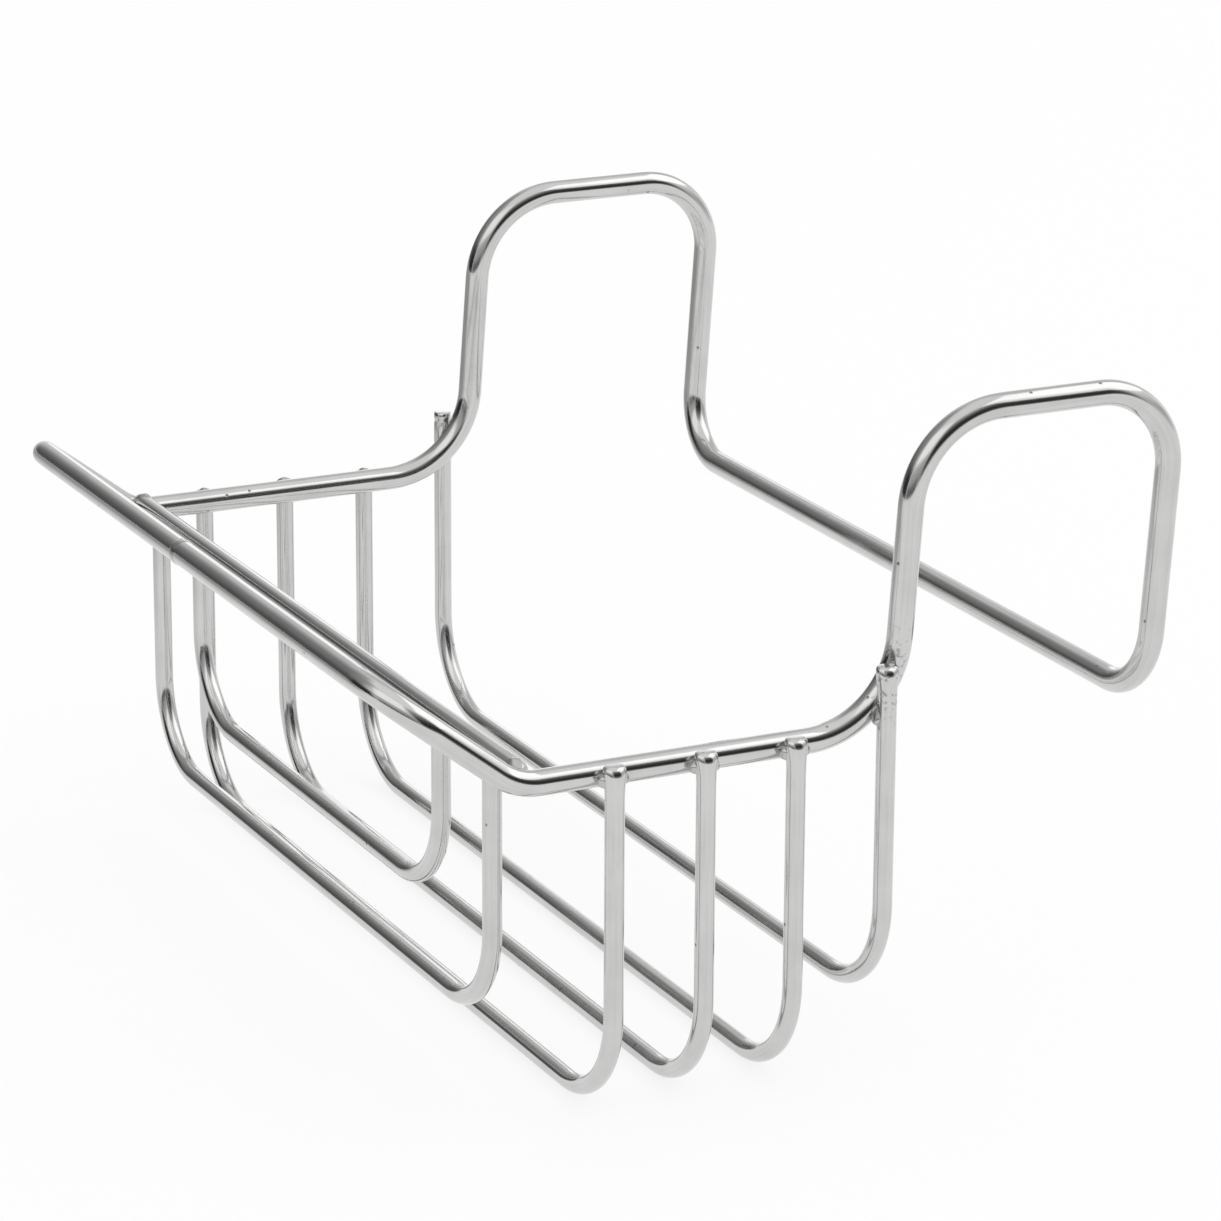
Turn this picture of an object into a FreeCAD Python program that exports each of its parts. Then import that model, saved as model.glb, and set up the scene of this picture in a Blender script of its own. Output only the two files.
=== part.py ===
# Wire sponge holder that hangs over a sink divider, bent and welded from stainless-steel wire.
# Millimetres. +X runs along the holder, +Y from the front lip to the rear hoops, +Z up.
# The origin is on the surface that the holder stands on, under the middle of its outline.
import FreeCAD, Part
import math
import os

import Sketcher

Vector = FreeCAD.Vector

doc = FreeCAD.newDocument("sponge_holder")

# Driving sizes
SIZES = [
    # diameter of the wire of the frame, and of every other wire
    ("frame_wire", 4.0),
    ("rib_wire", 3.0),
    # distance between the axes of the two side rails
    ("rail_spacing", 156.0),
    # basket ribs: distance from one to the next, drop from the rail to the rib's floor,
    # height of the right ends above the rail's axis, how much shorter the left legs are cut, bend
    # at the foot of each leg; the rear rib's own distance behind the last rib on the rails, and how
    # much higher it sits
    ("rib_pitch", 15.0),
    ("rib_depth", 53.2),
    ("rib_end_rise", 2.0),
    ("rib_left_cut", 1.2),
    ("rib_bend", 16.0),
    ("rear_rib_pitch", 15.2),
    ("rear_rib_lift", 10.4),
    # softened edge of each cut wire end
    ("wire_end_round", 0.4),
    # hoops that go over the divider: distance of the front leg behind the rear rib, distance
    # between the legs, height over the rails, how far the top stands back from the feet
    ("hoop_behind_rib", 2.8),
    ("hoop_spacing", 44.6),
    ("hoop_height", 48.3),
    ("hoop_setback", 3.4),
    ("hoop_foot_bend", 15.5),
    ("hoop_front_bend", 15.0),
    ("hoop_rear_bend", 12.5),
    # crossbar between the rear legs of the hoops: drop under the rails, bend at its ends
    ("rear_bar_drop", 1.5),
    ("rear_bar_bend", 11.0),
    # front corners of the frame, where the rails turn up into the lip
    ("corner_reach", 14.3),
    ("corner_bend", 10.0),
    # front lip: reach in front of the corners, rise over the rails, inset of each end, bend
    ("lip_reach", 19.5),
    ("lip_rise", 15.2),
    ("lip_inset", 3.0),
    ("lip_bend", 11.0),
    # bar across the front: distance in front of the first rib, height over the rails, and how far
    # its ends go over the inner sides of the corners
    ("front_bar_reach", 13.4),
    ("front_bar_rise", 1.8),
    ("front_bar_tuck", 0.5),
    # two wires that hang from the front bar: distance of each leg from the rail, or from the
    # outer wire's leg, drop under the rails, bend
    ("outer_loop_inset", 10.5),
    ("outer_loop_depth", 41.0),
    ("outer_loop_bend", 14.5),
    ("inner_loop_inset", 18.5),
    ("inner_loop_depth", 27.4),
    ("inner_loop_bend", 14.0),
    # how far a wire is pressed into the one that it is welded to, and size of the weld bead
    ("weld_sink", 0.1),
    ("weld_bead", 3.5),
    # butt weld that closes the frame, in the lip: distance from the middle, gap, collar
    ("seam_offset", 4.4),
    ("seam_gap", 0.6),
    ("seam_width", 1.8),
    ("seam_crown", 0.12),
]

sheet = doc.addObject("Spreadsheet::Sheet", "sizes")
for row, (alias, number) in enumerate(SIZES, start=1):
    sheet.set(f"A{row}", alias)
    sheet.set(f"B{row}", str(number))
    sheet.setAlias(f"B{row}", alias)
doc.recompute()


def size(alias):
    return float(sheet.get(alias))


# Counts
RAIL_RIBS = 3

# Places that several pieces share
frame_radius = size("frame_wire") / 2
rib_radius = size("rib_wire") / 2
rail_x = size("rail_spacing") / 2
rear_rib_y = (RAIL_RIBS - 1) * size("rib_pitch") + size("rear_rib_pitch")
hoop_front_y = rear_rib_y + size("hoop_behind_rib")
hoop_rear_y = hoop_front_y + size("hoop_spacing")
corner_y = -size("corner_reach")
lip_y = corner_y - size("lip_reach")
lip_x = rail_x - size("lip_inset")
front_bar_y = -size("front_bar_reach")
seam_x = -size("seam_offset")

# The rail bends up into the front leg of the hoop from this place on
foot_turn = math.pi / 2 - math.atan(size("hoop_setback") / size("hoop_height"))
foot_start_y = hoop_front_y - size("hoop_foot_bend") * math.tan(foot_turn / 2)


def rail_height(y):
    # height of the rail's axis at a place along it
    bend = size("hoop_foot_bend")
    along = max(y - foot_start_y, 0)
    return bend - math.sqrt(bend ** 2 - along ** 2)


def bent_wire(points, bends):
    # straight runs joined by tangent arcs; one bend radius for each inner point
    edges = []
    start = points[0]
    for before, corner, after, bend in zip(points, points[1:], points[2:], bends):
        back = (before - corner).normalize()
        ahead = (after - corner).normalize()
        half = back.getAngle(ahead) / 2
        reach = bend / math.tan(half)
        middle = (back + ahead).normalize()
        arc_start = corner + back * reach
        arc_end = corner + ahead * reach
        arc_middle = corner + middle * (bend / math.sin(half) - bend)
        edges.append(Part.LineSegment(start, arc_start).toShape())
        edges.append(Part.Arc(arc_start, arc_middle, arc_end).toShape())
        start = arc_end
    edges.append(Part.LineSegment(start, points[-1]).toShape())
    return Part.Wire(edges)


# Frame: one wire round the lip, the side rails, both hoops and the rear crossbar
left_half = [
    Vector(-lip_x, lip_y, size("lip_rise")),
    Vector(-rail_x, corner_y, 0),
    Vector(-rail_x, hoop_front_y, 0),
    Vector(-rail_x, hoop_front_y + size("hoop_setback"), size("hoop_height")),
    Vector(-rail_x, hoop_rear_y + size("hoop_setback"), size("hoop_height")),
    Vector(-rail_x, hoop_rear_y, -size("rear_bar_drop")),
]
half_bends = [
    size("lip_bend"),
    size("corner_bend"),
    size("hoop_foot_bend"),
    size("hoop_front_bend"),
    size("hoop_rear_bend"),
    size("rear_bar_bend"),
]
right_half = [Vector(-p.x, p.y, p.z) for p in reversed(left_half)]
seam_left = Vector(seam_x - size("seam_gap") / 2, lip_y, size("lip_rise"))
seam_right = Vector(seam_x + size("seam_gap") / 2, lip_y, size("lip_rise"))
frame_path = bent_wire(
    [seam_left] + left_half + right_half + [seam_right],
    half_bends + half_bends[::-1],
)
frame_section = Part.Wire(Part.Circle(seam_left, Vector(1, 0, 0), frame_radius).toShape())

# The whole holder is set down with its rib floors on the ground and its outline centred
outline = frame_path.BoundBox
middle_y = (outline.YMin - size("seam_crown") + outline.YMax) / 2
rail_z = size("rib_depth") + rib_radius


def placed(x, y, z):
    # a place measured from the middle of the first rib at the height of the rails
    return FreeCAD.Placement(Vector(x, y - middle_y, z + rail_z), FreeCAD.Rotation())


pieces = []

frame_wire = doc.addObject("Part::Feature", "frame_wire")
frame_wire.Shape = frame_path.makePipeShell([frame_section], True, False)
frame_wire.Placement = placed(0, 0, 0)
frame_wire.Label = "frame_wire"
pieces.append(frame_wire)


def origin_plane(body, role):
    return next(feature for feature in body.Origin.OriginFeatures if feature.Role == role)


def attached_sketch(body, name, role):
    sketch = body.newObject("Sketcher::SketchObject", name)
    sketch.AttachmentSupport = (origin_plane(body, role), [""])
    sketch.MapMode = "FlatFace"
    return sketch


def bind(sketch, number, name, expression):
    sketch.renameConstraint(number, name)
    sketch.setExpression(f"Constraints.{name}", expression)


def end_edges(shape, heights):
    # rims of the cut ends, at these heights
    names = []
    for number, edge in enumerate(shape.Edges, start=1):
        rim = isinstance(edge.Curve, Part.Circle) and len(edge.Vertexes) == 1
        if rim and any(abs(edge.CenterOfMass.z - height) < rib_radius / 2 for height in heights):
            names.append(f"Edge{number}")
    return names


def loop_wire(name, width, left_top, top, depth, bend):
    # one wire bent to a U: width between the legs' axes, left end at left_top and right end at top,
    # floor at depth below zero; each of the five is an expression in the sheet's names
    body = doc.addObject("PartDesign::Body", name)
    values = {}
    named = (("width", width), ("left_top", left_top), ("top", top), ("depth", depth), ("bend", bend))
    for key, expression in named:
        values[key] = float(sheet.evalExpression(expression))
    side = values["width"] / 2
    left_upper = values["left_top"]
    upper = values["top"]
    lower = -values["depth"]
    turn = values["bend"]

    path = attached_sketch(body, name + "_path", "XZ_Plane")
    path.addGeometry(Part.LineSegment(Vector(-side, left_upper, 0), Vector(-side, lower + turn, 0)))
    left = Part.Circle(Vector(turn - side, lower + turn, 0), Vector(0, 0, 1), turn)
    path.addGeometry(Part.ArcOfCircle(left, math.pi, 1.5 * math.pi))
    path.addGeometry(Part.LineSegment(Vector(turn - side, lower, 0), Vector(side - turn, lower, 0)))
    right = Part.Circle(Vector(side - turn, lower + turn, 0), Vector(0, 0, 1), turn)
    path.addGeometry(Part.ArcOfCircle(right, 1.5 * math.pi, 2 * math.pi))
    path.addGeometry(Part.LineSegment(Vector(side, lower + turn, 0), Vector(side, upper, 0)))
    path.addConstraint(Sketcher.Constraint("Tangent", 0, 2, 1, 1))
    path.addConstraint(Sketcher.Constraint("Tangent", 1, 2, 2, 1))
    path.addConstraint(Sketcher.Constraint("Tangent", 2, 2, 3, 1))
    path.addConstraint(Sketcher.Constraint("Tangent", 3, 2, 4, 1))
    path.addConstraint(Sketcher.Constraint("Vertical", 0))
    path.addConstraint(Sketcher.Constraint("Horizontal", 2))
    path.addConstraint(Sketcher.Constraint("Equal", 1, 3))
    path.addConstraint(Sketcher.Constraint("Symmetric", 0, 2, 4, 1, -2))
    bind(path, path.addConstraint(Sketcher.Constraint("DistanceX", 0, 1, 4, 2, 2 * side)), "width", width)
    left_end = path.addConstraint(Sketcher.Constraint("DistanceY", -1, 1, 0, 1, left_upper))
    bind(path, left_end, "left_top", left_top)
    bind(path, path.addConstraint(Sketcher.Constraint("DistanceY", -1, 1, 4, 2, upper)), "top", top)
    bind(path, path.addConstraint(Sketcher.Constraint("DistanceY", 2, 1, -1, 1, -lower)), "depth", depth)
    bind(path, path.addConstraint(Sketcher.Constraint("Radius", 1, turn)), "bend", bend)

    section = attached_sketch(body, name + "_section", "XY_Plane")
    section.AttachmentOffset = FreeCAD.Placement(Vector(0, 0, left_upper), FreeCAD.Rotation())
    section.setExpression("AttachmentOffset.Base.z", left_top)
    section.addGeometry(Part.Circle(Vector(-side, 0, 0), Vector(0, 0, 1), rib_radius))
    section.addConstraint(Sketcher.Constraint("PointOnObject", 0, 3, -1))
    place = section.addConstraint(Sketcher.Constraint("DistanceX", 0, 3, -1, 1, side))
    bind(section, place, "side", f"({width}) / 2")
    across = section.addConstraint(Sketcher.Constraint("Diameter", 0, 2 * rib_radius))
    bind(section, across, "wire", "sizes.rib_wire")
    doc.recompute()

    pipe = body.newObject("PartDesign::AdditivePipe", name + "_pipe")
    pipe.Profile = section
    pipe.Spine = path
    doc.recompute()

    rounded = body.newObject("PartDesign::Fillet", name + "_ends")
    rounded.Base = (pipe, end_edges(pipe.Shape, (left_upper, upper)))
    rounded.setExpression("Radius", "sizes.wire_end_round")
    body.Tip = rounded
    doc.recompute()
    return body


def cut_to_fit(name, base, tools):
    # the base with every wire that it is welded to cut out of it, so that they meet face to face
    result = base
    for number, tool in enumerate(tools, start=1):
        last = number == len(tools)
        cut = doc.addObject("Part::Cut", name if last else f"{name}_cut_{number}")
        cut.Base = result
        cut.Tool = tool
        result = cut
    result.Label = name
    pieces.append(result)
    return result


def weld(name, place, wires):
    # a bead round the spot where two wires touch, with its poles inside the wires
    bead = doc.addObject("Part::Sphere", name + "_bead")
    bead.setExpression("Radius", "sizes.weld_bead / 2")
    bead.Placement = FreeCAD.Placement(place.Base, FreeCAD.Rotation(Vector(0, 1, 0), 90))
    return cut_to_fit(name, bead, wires)

# Basket ribs: four alike, outside the rails; the rear one sits higher, on the bend of the hoops
rib_width = "sizes.rail_spacing + sizes.frame_wire + sizes.rib_wire - 2 * sizes.weld_sink"
weld_x = rail_x + frame_radius - size("weld_sink") / 2
for number in range(RAIL_RIBS + 1):
    rear = number == RAIL_RIBS
    name = "rib_rear" if rear else f"rib_{number + 1}"
    rib_y = rear_rib_y if rear else number * size("rib_pitch")
    body = loop_wire(
        name + "_wire",
        rib_width,
        "sizes.rib_end_rise - sizes.rib_left_cut",
        "sizes.rib_end_rise",
        "sizes.rib_depth",
        "sizes.rib_bend",
    )
    body.Placement = placed(0, rib_y, size("rear_rib_lift") if rear else 0)
    rib = cut_to_fit(name, body, [frame_wire])
    for side, sign in (("left", -1), ("right", 1)):
        place = placed(sign * weld_x, rib_y, rail_height(rib_y))
        weld(f"{name}_weld_{side}", place, [frame_wire, rib])

# Front bar, straight, with its ends in the crook of the two front corners
bar_body = doc.addObject("PartDesign::Body", "front_bar_wire")
bar_section = attached_sketch(bar_body, "front_bar_section", "YZ_Plane")
bar_section.addGeometry(Part.Circle(Vector(0, 0, 0), Vector(0, 0, 1), rib_radius))
bar_section.addConstraint(Sketcher.Constraint("Coincident", 0, 3, -1, 1))
bar_across = bar_section.addConstraint(Sketcher.Constraint("Diameter", 0, 2 * rib_radius))
bind(bar_section, bar_across, "wire", "sizes.rib_wire")
doc.recompute()
bar_pad = bar_body.newObject("PartDesign::Pad", "front_bar_pad")
bar_pad.Profile = bar_section
bar_pad.Midplane = True
bar_pad.setExpression("Length", "sizes.rail_spacing - sizes.frame_wire + 2 * sizes.front_bar_tuck")
bar_body.Tip = bar_pad
bar_body.Placement = placed(0, front_bar_y, size("front_bar_rise"))
doc.recompute()
front_bar = cut_to_fit("front_bar", bar_body, [frame_wire])
for side, sign in (("left", -1), ("right", 1)):
    place = placed(sign * (rail_x - frame_radius), front_bar_y, size("front_bar_rise") / 2)
    weld(f"front_bar_weld_{side}", place, [frame_wire, front_bar])

# Two loops that hang from the front bar, one inside the other
loop_top = "sizes.front_bar_rise - sizes.rib_wire / 2 + sizes.weld_sink"
outer_width = "sizes.rail_spacing - 2 * sizes.outer_loop_inset"
inner_width = outer_width + " - 2 * sizes.inner_loop_inset"
for name, width in (("outer_loop", outer_width), ("inner_loop", inner_width)):
    body = loop_wire(
        name + "_wire",
        width,
        loop_top,
        loop_top,
        f"sizes.{name}_depth",
        f"sizes.{name}_bend",
    )
    body.Placement = placed(0, front_bar_y, 0)
    loop = cut_to_fit(name, body, [front_bar])
    leg_x = float(sheet.evalExpression(width)) / 2
    height = size("front_bar_rise") - rib_radius + size("weld_sink") / 2
    for side, sign in (("left", -1), ("right", 1)):
        place = placed(sign * leg_x, front_bar_y, height)
        weld(f"{name}_weld_{side}", place, [front_bar, loop])

# Collar of the butt weld that closes the frame
seam_body = doc.addObject("PartDesign::Body", "frame_seam_weld")
seam_profile = attached_sketch(seam_body, "frame_seam_profile", "XY_Plane")
gap_half = size("seam_gap") / 2
width_half = size("seam_width") / 2
crown_radius = (width_half ** 2 + size("seam_crown") ** 2) / (2 * size("seam_crown"))
crown_half = math.asin(width_half / crown_radius)
crown_middle = Vector(0, frame_radius + size("seam_crown") - crown_radius, 0)
crown = Part.Circle(crown_middle, Vector(0, 0, 1), crown_radius)
corners = [
    Vector(-gap_half, 0, 0),
    Vector(-gap_half, frame_radius, 0),
    Vector(-width_half, frame_radius, 0),
    Vector(width_half, frame_radius, 0),
    Vector(gap_half, frame_radius, 0),
    Vector(gap_half, 0, 0),
]
seam_profile.addGeometry(Part.LineSegment(corners[0], corners[1]))
seam_profile.addGeometry(Part.LineSegment(corners[1], corners[2]))
seam_profile.addGeometry(Part.ArcOfCircle(crown, math.pi / 2 - crown_half, math.pi / 2 + crown_half))
seam_profile.addGeometry(Part.LineSegment(corners[3], corners[4]))
seam_profile.addGeometry(Part.LineSegment(corners[4], corners[5]))
seam_profile.addGeometry(Part.LineSegment(corners[5], corners[0]))
for first, first_end, second, second_end in (
    (0, 2, 1, 1),
    (1, 2, 2, 2),
    (2, 1, 3, 1),
    (3, 2, 4, 1),
    (4, 2, 5, 1),
    (5, 2, 0, 1),
):
    seam_profile.addConstraint(Sketcher.Constraint("Coincident", first, first_end, second, second_end))
seam_profile.addConstraint(Sketcher.Constraint("Vertical", 0))
seam_profile.addConstraint(Sketcher.Constraint("Horizontal", 1))
seam_profile.addConstraint(Sketcher.Constraint("Horizontal", 3))
seam_profile.addConstraint(Sketcher.Constraint("Vertical", 4))
seam_profile.addConstraint(Sketcher.Constraint("PointOnObject", 0, 1, -1))
seam_profile.addConstraint(Sketcher.Constraint("Symmetric", 0, 1, 4, 2, -2))
seam_profile.addConstraint(Sketcher.Constraint("Symmetric", 1, 2, 3, 1, -2))
across_gap = seam_profile.addConstraint(Sketcher.Constraint("DistanceX", 0, 1, 4, 2, 2 * gap_half))
bind(seam_profile, across_gap, "gap", "sizes.seam_gap")
across_collar = seam_profile.addConstraint(Sketcher.Constraint("DistanceX", 1, 2, 3, 1, 2 * width_half))
bind(seam_profile, across_collar, "width", "sizes.seam_width")
up_to_wire = seam_profile.addConstraint(Sketcher.Constraint("DistanceY", 0, 1, 0, 2, frame_radius))
bind(seam_profile, up_to_wire, "wire", "sizes.frame_wire / 2")
round_top = seam_profile.addConstraint(Sketcher.Constraint("Radius", 2, crown_radius))
bind(
    seam_profile,
    round_top,
    "crown",
    "(sizes.seam_width ^ 2 / 4 + sizes.seam_crown ^ 2) / (2 * sizes.seam_crown)",
)
doc.recompute()
seam_turn = seam_body.newObject("PartDesign::Revolution", "frame_seam_turn")
seam_turn.Profile = seam_profile
seam_turn.ReferenceAxis = (seam_profile, ["H_Axis"])
seam_turn.Angle = 360
seam_body.Tip = seam_turn
seam_body.Placement = placed(seam_x, lip_y, size("lip_rise"))
seam_body.Label = "frame_seam_weld"
pieces.append(seam_body)
doc.recompute()

# Every feature has to be sound, and every piece one whole solid
for item in doc.Objects:
    if "Invalid" in item.State or "Error" in item.State:
        raise RuntimeError(f"{item.Name} failed: {item.State}")
for piece in pieces:
    shape = piece.Shape
    if shape.isNull() or not shape.isValid() or len(shape.Solids) != 1:
        raise RuntimeError(f"{piece.Label} is not one valid solid")
    print(f"{piece.Label}: {shape.Volume:.2f} mm3")
swept_share = frame_wire.Shape.Volume / (frame_path.Length * math.pi * frame_radius ** 2)
print(f"frame volume over section times length: {swept_share:.5f}")

os.makedirs("parts", exist_ok=True)
for piece in pieces:
    piece.Shape.exportStep(f"parts/{piece.Label}.step")
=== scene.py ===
"""Wire sponge holder for a sink divider: bends the wires, lays the welds and sets up the studio."""

import math

import bmesh
import bpy
from bpy.props import FloatProperty, FloatVectorProperty, IntProperty, PointerProperty
from mathutils import Matrix, Quaternion, Vector
from mathutils.kdtree import KDTree


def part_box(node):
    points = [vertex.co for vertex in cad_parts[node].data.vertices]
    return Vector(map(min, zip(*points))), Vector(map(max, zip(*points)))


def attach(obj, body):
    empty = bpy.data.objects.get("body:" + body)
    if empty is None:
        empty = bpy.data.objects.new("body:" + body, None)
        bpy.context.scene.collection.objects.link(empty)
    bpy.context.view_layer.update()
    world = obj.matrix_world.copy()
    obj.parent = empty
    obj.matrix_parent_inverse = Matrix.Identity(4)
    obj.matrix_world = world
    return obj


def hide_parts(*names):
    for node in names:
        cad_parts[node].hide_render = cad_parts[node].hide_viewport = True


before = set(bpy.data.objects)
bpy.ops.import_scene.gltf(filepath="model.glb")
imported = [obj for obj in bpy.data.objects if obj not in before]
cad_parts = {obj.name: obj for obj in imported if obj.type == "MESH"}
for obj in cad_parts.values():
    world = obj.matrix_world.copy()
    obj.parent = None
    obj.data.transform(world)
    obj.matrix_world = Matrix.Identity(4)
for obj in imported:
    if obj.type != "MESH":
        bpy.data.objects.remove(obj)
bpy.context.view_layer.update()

bl_info = {
    "name": "Wire sponge holder",
    "version": (1, 0, 0),
    "blender": (4, 5, 0),
    "location": "View3D > Sidebar > Holder",
    "description": "Models a bent and welded wire sponge holder and its studio",
    "category": "Add Mesh",
}

BODY = "root"
STRAIGHT = "straight_wire"
RAIL_RIBS = ("rib_1", "rib_2", "rib_3")
REAR_RIB = "rib_rear"
WHITE = (1, 1, 1, 1)


def length(name, description, default):
    """A size in metres that a user may change."""
    return FloatProperty(
        name=name, description=description, default=default, min=0, unit="LENGTH", precision=5)


class HolderSizes(bpy.types.PropertyGroup):
    """Sizes of the wires and of their bends, measured on the wires' axes."""

    frame_wire: length("Frame wire", "Diameter of the frame's wire", 0.004)
    rib_wire: length("Rib wire", "Diameter of the ribs, loops and front bar", 0.003)
    rail_spacing: length("Rail spacing", "Distance between the side rails", 0.156)
    rib_depth: length("Rib depth", "Drop from the rails to the ribs' floors", 0.0532)
    rib_end_rise: length("Rib end rise", "Height of the ribs' ends over the rails", 0.002)
    rib_left_cut: length("Rib left cut", "How much shorter the ribs' left legs are", 0.0012)
    rib_bend: length("Rib bend", "Bend at the foot of a rib's leg", 0.016)
    weld_sink: length("Weld sink", "How far a wire is pressed into the one it is welded to", 0.0001)
    rear_rib_lift: length("Rear rib lift", "How much higher the rear rib sits", 0.0104)
    rear_left_cut: length("Rear left cut", "How much shorter the rear rib's left leg is", 0.0025)
    rear_right_cut: length("Rear right cut", "How much shorter the rear rib's right leg is", 0.0012)
    hoop_behind_rib: length(
        "Hoop behind rib", "Distance of the hoops' front legs behind the rear rib", 0.0028)
    hoop_spacing: length("Hoop spacing", "Distance between a hoop's legs", 0.0446)
    hoop_height: length("Hoop height", "Height of the hoops over the rails", 0.0483)
    hoop_setback: length(
        "Hoop setback", "How far the hoops' tops stand back from their feet", 0.0034)
    hoop_foot_bend: length("Hoop foot bend", "Bend from the rail into the hoop", 0.0155)
    hoop_front_bend: length("Hoop front bend", "Front bend at a hoop's top", 0.015)
    hoop_rear_bend: length("Hoop rear bend", "Rear bend at a hoop's top", 0.0125)
    rear_bar_drop: length("Rear bar drop", "Drop of the rear crossbar under the rails", 0.0015)
    rear_bar_bend: length("Rear bar bend", "Bend at the ends of the rear crossbar", 0.011)
    corner_reach: length(
        "Corner reach", "Distance of the front corners in front of the first rib", 0.0143)
    corner_bend: length("Corner bend", "Bend from the rail into the lip", 0.010)
    lip_reach: length("Lip reach", "Reach of the lip in front of the corners", 0.0195)
    lip_rise: length("Lip rise", "Height of the lip over the rails", 0.0152)
    lip_inset: length("Lip inset", "How far each end of the lip stands inside the rails", 0.003)
    lip_bend: length("Lip bend", "Bend at the ends of the lip", 0.011)
    front_bar_reach: length(
        "Front bar reach", "Distance of the front bar in front of the first rib", 0.0134)
    front_bar_rise: length("Front bar rise", "Height of the front bar over the rails", 0.0018)
    front_bar_tuck: length(
        "Front bar tuck", "How far the front bar's ends go over the corners", 0.0005)
    outer_loop_inset: length(
        "Outer loop inset", "Distance of the outer loop's legs from the rails", 0.0105)
    outer_loop_depth: length("Outer loop depth", "Drop of the outer loop under the rails", 0.041)
    outer_loop_bend: length("Outer loop bend", "Bend of the outer loop", 0.0145)
    inner_loop_inset: length(
        "Inner loop inset", "Distance of the inner loop's legs from the outer loop's", 0.0185)
    inner_loop_depth: length("Inner loop depth", "Drop of the inner loop under the rails", 0.0274)
    inner_loop_bend: length("Inner loop bend", "Bend of the inner loop", 0.014)
    seam_offset: length("Seam offset", "Distance of the closing weld from the lip's middle", 0.0044)
    seam_gap: length("Seam gap", "Gap between the frame's cut ends", 0.0006)
    seam_width: length("Seam width", "Width of the closing weld's collar", 0.0018)
    seam_crown: length("Seam crown", "How far that collar stands proud", 0.00012)
    weld_bead: length("Weld bead", "Diameter of a weld bead", 0.0035)
    end_round: length("End round", "Softened rim of a cut wire end", 0.0004)
    wire_sides: IntProperty(
        name="Wire sides", description="Sides of a wire's section", default=48, min=12)
    bend_steps: IntProperty(
        name="Bend steps", description="Rings in a quarter bend", default=28, min=6)


class HolderFinish(bpy.types.PropertyGroup):
    """Colours and gloss of the steel."""

    steel: FloatVectorProperty(
        name="Steel", description="Colour of the polished wire", subtype="COLOR",
        default=(0.61, 0.61, 0.605))
    weld: FloatVectorProperty(
        name="Weld", description="Colour of the weld metal", subtype="COLOR",
        default=(0.52, 0.515, 0.505))
    polish: FloatProperty(
        name="Roughness", description="Roughness of the polished wire", subtype="FACTOR",
        default=0.11, min=0, max=1)
    weld_polish: FloatProperty(
        name="Weld roughness", description="Roughness of the weld metal", subtype="FACTOR",
        default=0.2, min=0, max=1)


class HolderStudio(bpy.types.PropertyGroup):
    """Camera, floor and light."""

    camera_place: FloatVectorProperty(
        name="Camera place", description="Where the camera stands", subtype="XYZ", unit="LENGTH",
        default=(0.72015, -0.34263, 0.30563))
    camera_turn: FloatVectorProperty(
        name="Camera turn", description="How the camera is turned", subtype="EULER",
        unit="ROTATION",
        default=tuple(math.radians(angle) for angle in (72.433, -0.3288, 64.1331)))
    lens: FloatProperty(
        name="Lens", description="Focal length in millimetres", default=151.93, min=1)
    floor: FloatVectorProperty(
        name="Floor", description="Colour of the floor", subtype="COLOR", default=(0.9, 0.9, 0.9))


# Shader maths


class Value:
    """A shader's number or colour; sums and products of numbers add Math nodes."""

    def __init__(self, graph, socket):
        self.graph = graph
        self.socket = socket

    def math(self, operation, first, second):
        return self.graph.node("ShaderNodeMath", {"operation": operation}, {0: first, 1: second})

    def __add__(self, other):
        return self.math("ADD", self, other)

    def __radd__(self, other):
        return self.math("ADD", other, self)

    def __sub__(self, other):
        return self.math("SUBTRACT", self, other)

    def __rsub__(self, other):
        return self.math("SUBTRACT", other, self)

    def __mul__(self, other):
        return self.math("MULTIPLY", self, other)

    def __rmul__(self, other):
        return self.math("MULTIPLY", other, self)

    def output(self, name):
        return Value(self.graph, self.socket.node.outputs[name])


class Graph:
    """Nodes of one material or world."""

    def __init__(self, owner):
        owner.use_nodes = True
        self.tree = owner.node_tree
        self.tree.nodes.clear()

    def node(self, kind, settings=None, inputs=None, output=0):
        made = self.tree.nodes.new(kind)
        for name, setting in (settings or {}).items():
            setattr(made, name, setting)
        for key, given in (inputs or {}).items():
            socket = made.inputs[key]
            if isinstance(given, Value):
                self.tree.links.new(given.socket, socket)
            else:
                socket.default_value = given
        return Value(self, made.outputs[output]) if made.outputs else None

    def step(self, value, low, high):
        """0 under low, 1 over high, smooth between."""
        return self.node(
            "ShaderNodeMapRange", {"interpolation_type": "SMOOTHSTEP"},
            {"Value": value, "From Min": low, "From Max": high, "To Min": 0.0, "To Max": 1.0})


def seen_rays(graph):
    """1 for rays that show the white background: the camera's own, mirrored or let through."""
    rays = graph.node("ShaderNodeLightPath", output="Is Camera Ray")
    return rays + rays.output("Is Glossy Ray") + rays.output("Is Transmission Ray")


# How fine the steel's patterns are, per metre
LINE_SCALE = 2400.0
CLOUD_SCALE = 160.0
RIPPLE_SCALE = 420.0
SPECK_SCALE = 1300.0
PIT_SCALE = 380.0
SCUFF_SCALE = 260.0
# How lines and scuffs are drawn out along the wire
LINE_STRETCH = (1, 1, 0.025)
SCUFF_STRETCH = (1, 1, 0.3)
# Where marks fade: pits and scuffs in shares of a cell, the worn place in metres
PIT_FADE = (0.06, 0.15)
SCUFF_FADE = (0.05, 0.3)
WORN_FADE = (0.003, 0.010)
# Values of a pattern between which its mark comes in, and how far apart for the choice of cells
SPECK_RANGE = (0.55, 0.66)
STAIN_RANGE = (0.35, 0.7)
CHOICE_RANGE = 0.02
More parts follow.
